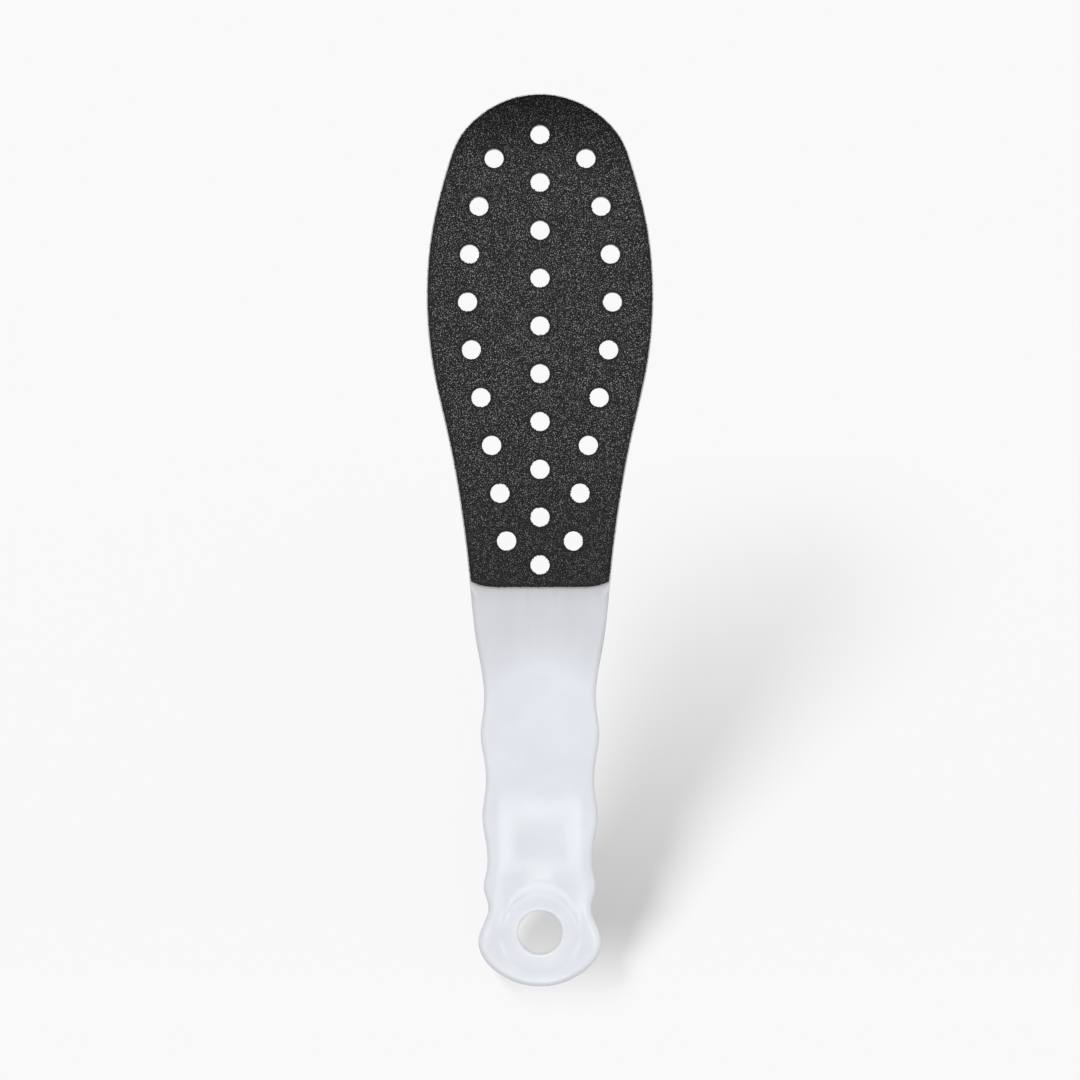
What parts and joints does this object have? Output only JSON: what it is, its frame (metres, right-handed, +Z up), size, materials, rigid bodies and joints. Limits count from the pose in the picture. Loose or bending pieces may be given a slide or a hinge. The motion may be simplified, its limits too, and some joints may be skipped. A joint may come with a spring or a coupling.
{
  "type": "foot file",
  "caption": "Double-sided foot file: rounded perforated paddle with a coarse and a fine abrasive face on a moulded plastic handle with finger rests and a hanging hole.",
  "frame": {"origin": "bottom centre of the whole file, under the middle of its length, as it lies flat with the coarse face up", "axes": "+Y along the file from the hanging end to the tip of the paddle, +Z up out of the coarse face, +X across the paddle"},
  "size_m": [0.061, 0.24, 0.0096],
  "materials": {
    "body_plastic": "gloss",
    "adhesive": "satin",
    "backing": "matte",
    "coarse_grit": "matte",
    "fine_grit": "matte"
  },
  "bodies": {
    "root": {"moulded_body": "body_plastic", "front_adhesive_film": "adhesive", "front_backing_sheet": "backing", "front_grit_coat": "coarse_grit", "rear_adhesive_film": "adhesive", "rear_backing_sheet": "backing", "rear_grit_coat": "fine_grit"}
  },
  "joints": []
}
